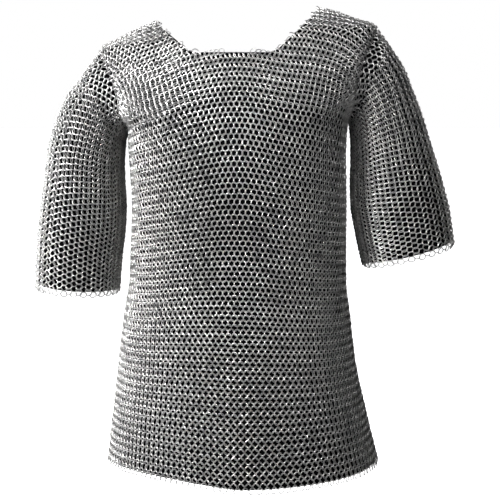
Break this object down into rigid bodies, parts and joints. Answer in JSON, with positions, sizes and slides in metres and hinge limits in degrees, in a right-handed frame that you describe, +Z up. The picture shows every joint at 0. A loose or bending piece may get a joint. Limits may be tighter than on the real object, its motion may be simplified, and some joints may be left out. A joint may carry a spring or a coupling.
{
  "type": "chainmail hauberk",
  "caption": "Short-sleeved mail shirt of linked steel rings, filled out as worn, open at neck, cuffs and hem, reaching to the hips.",
  "frame": {"origin": "midway between the shoulders, at the underside of the shoulder ridge, where the wearer's shoulders hold the shirt up", "axes": "+Z up along the body, -Y out of the chest, +X to the right seen from in front"},
  "size_m": [0.6763, 0.3018, 0.7388],
  "materials": {
    "steel_mail": "worn bright steel wire, linked rings",
    "mail_shadow": "dark inner layer seen through the rings"
  },
  "bodies": {
    "root": {"front_panel": "steel_mail", "back_panel": "steel_mail", "left_sleeve": "steel_mail", "right_sleeve": "steel_mail"}
  },
  "joints": []
}
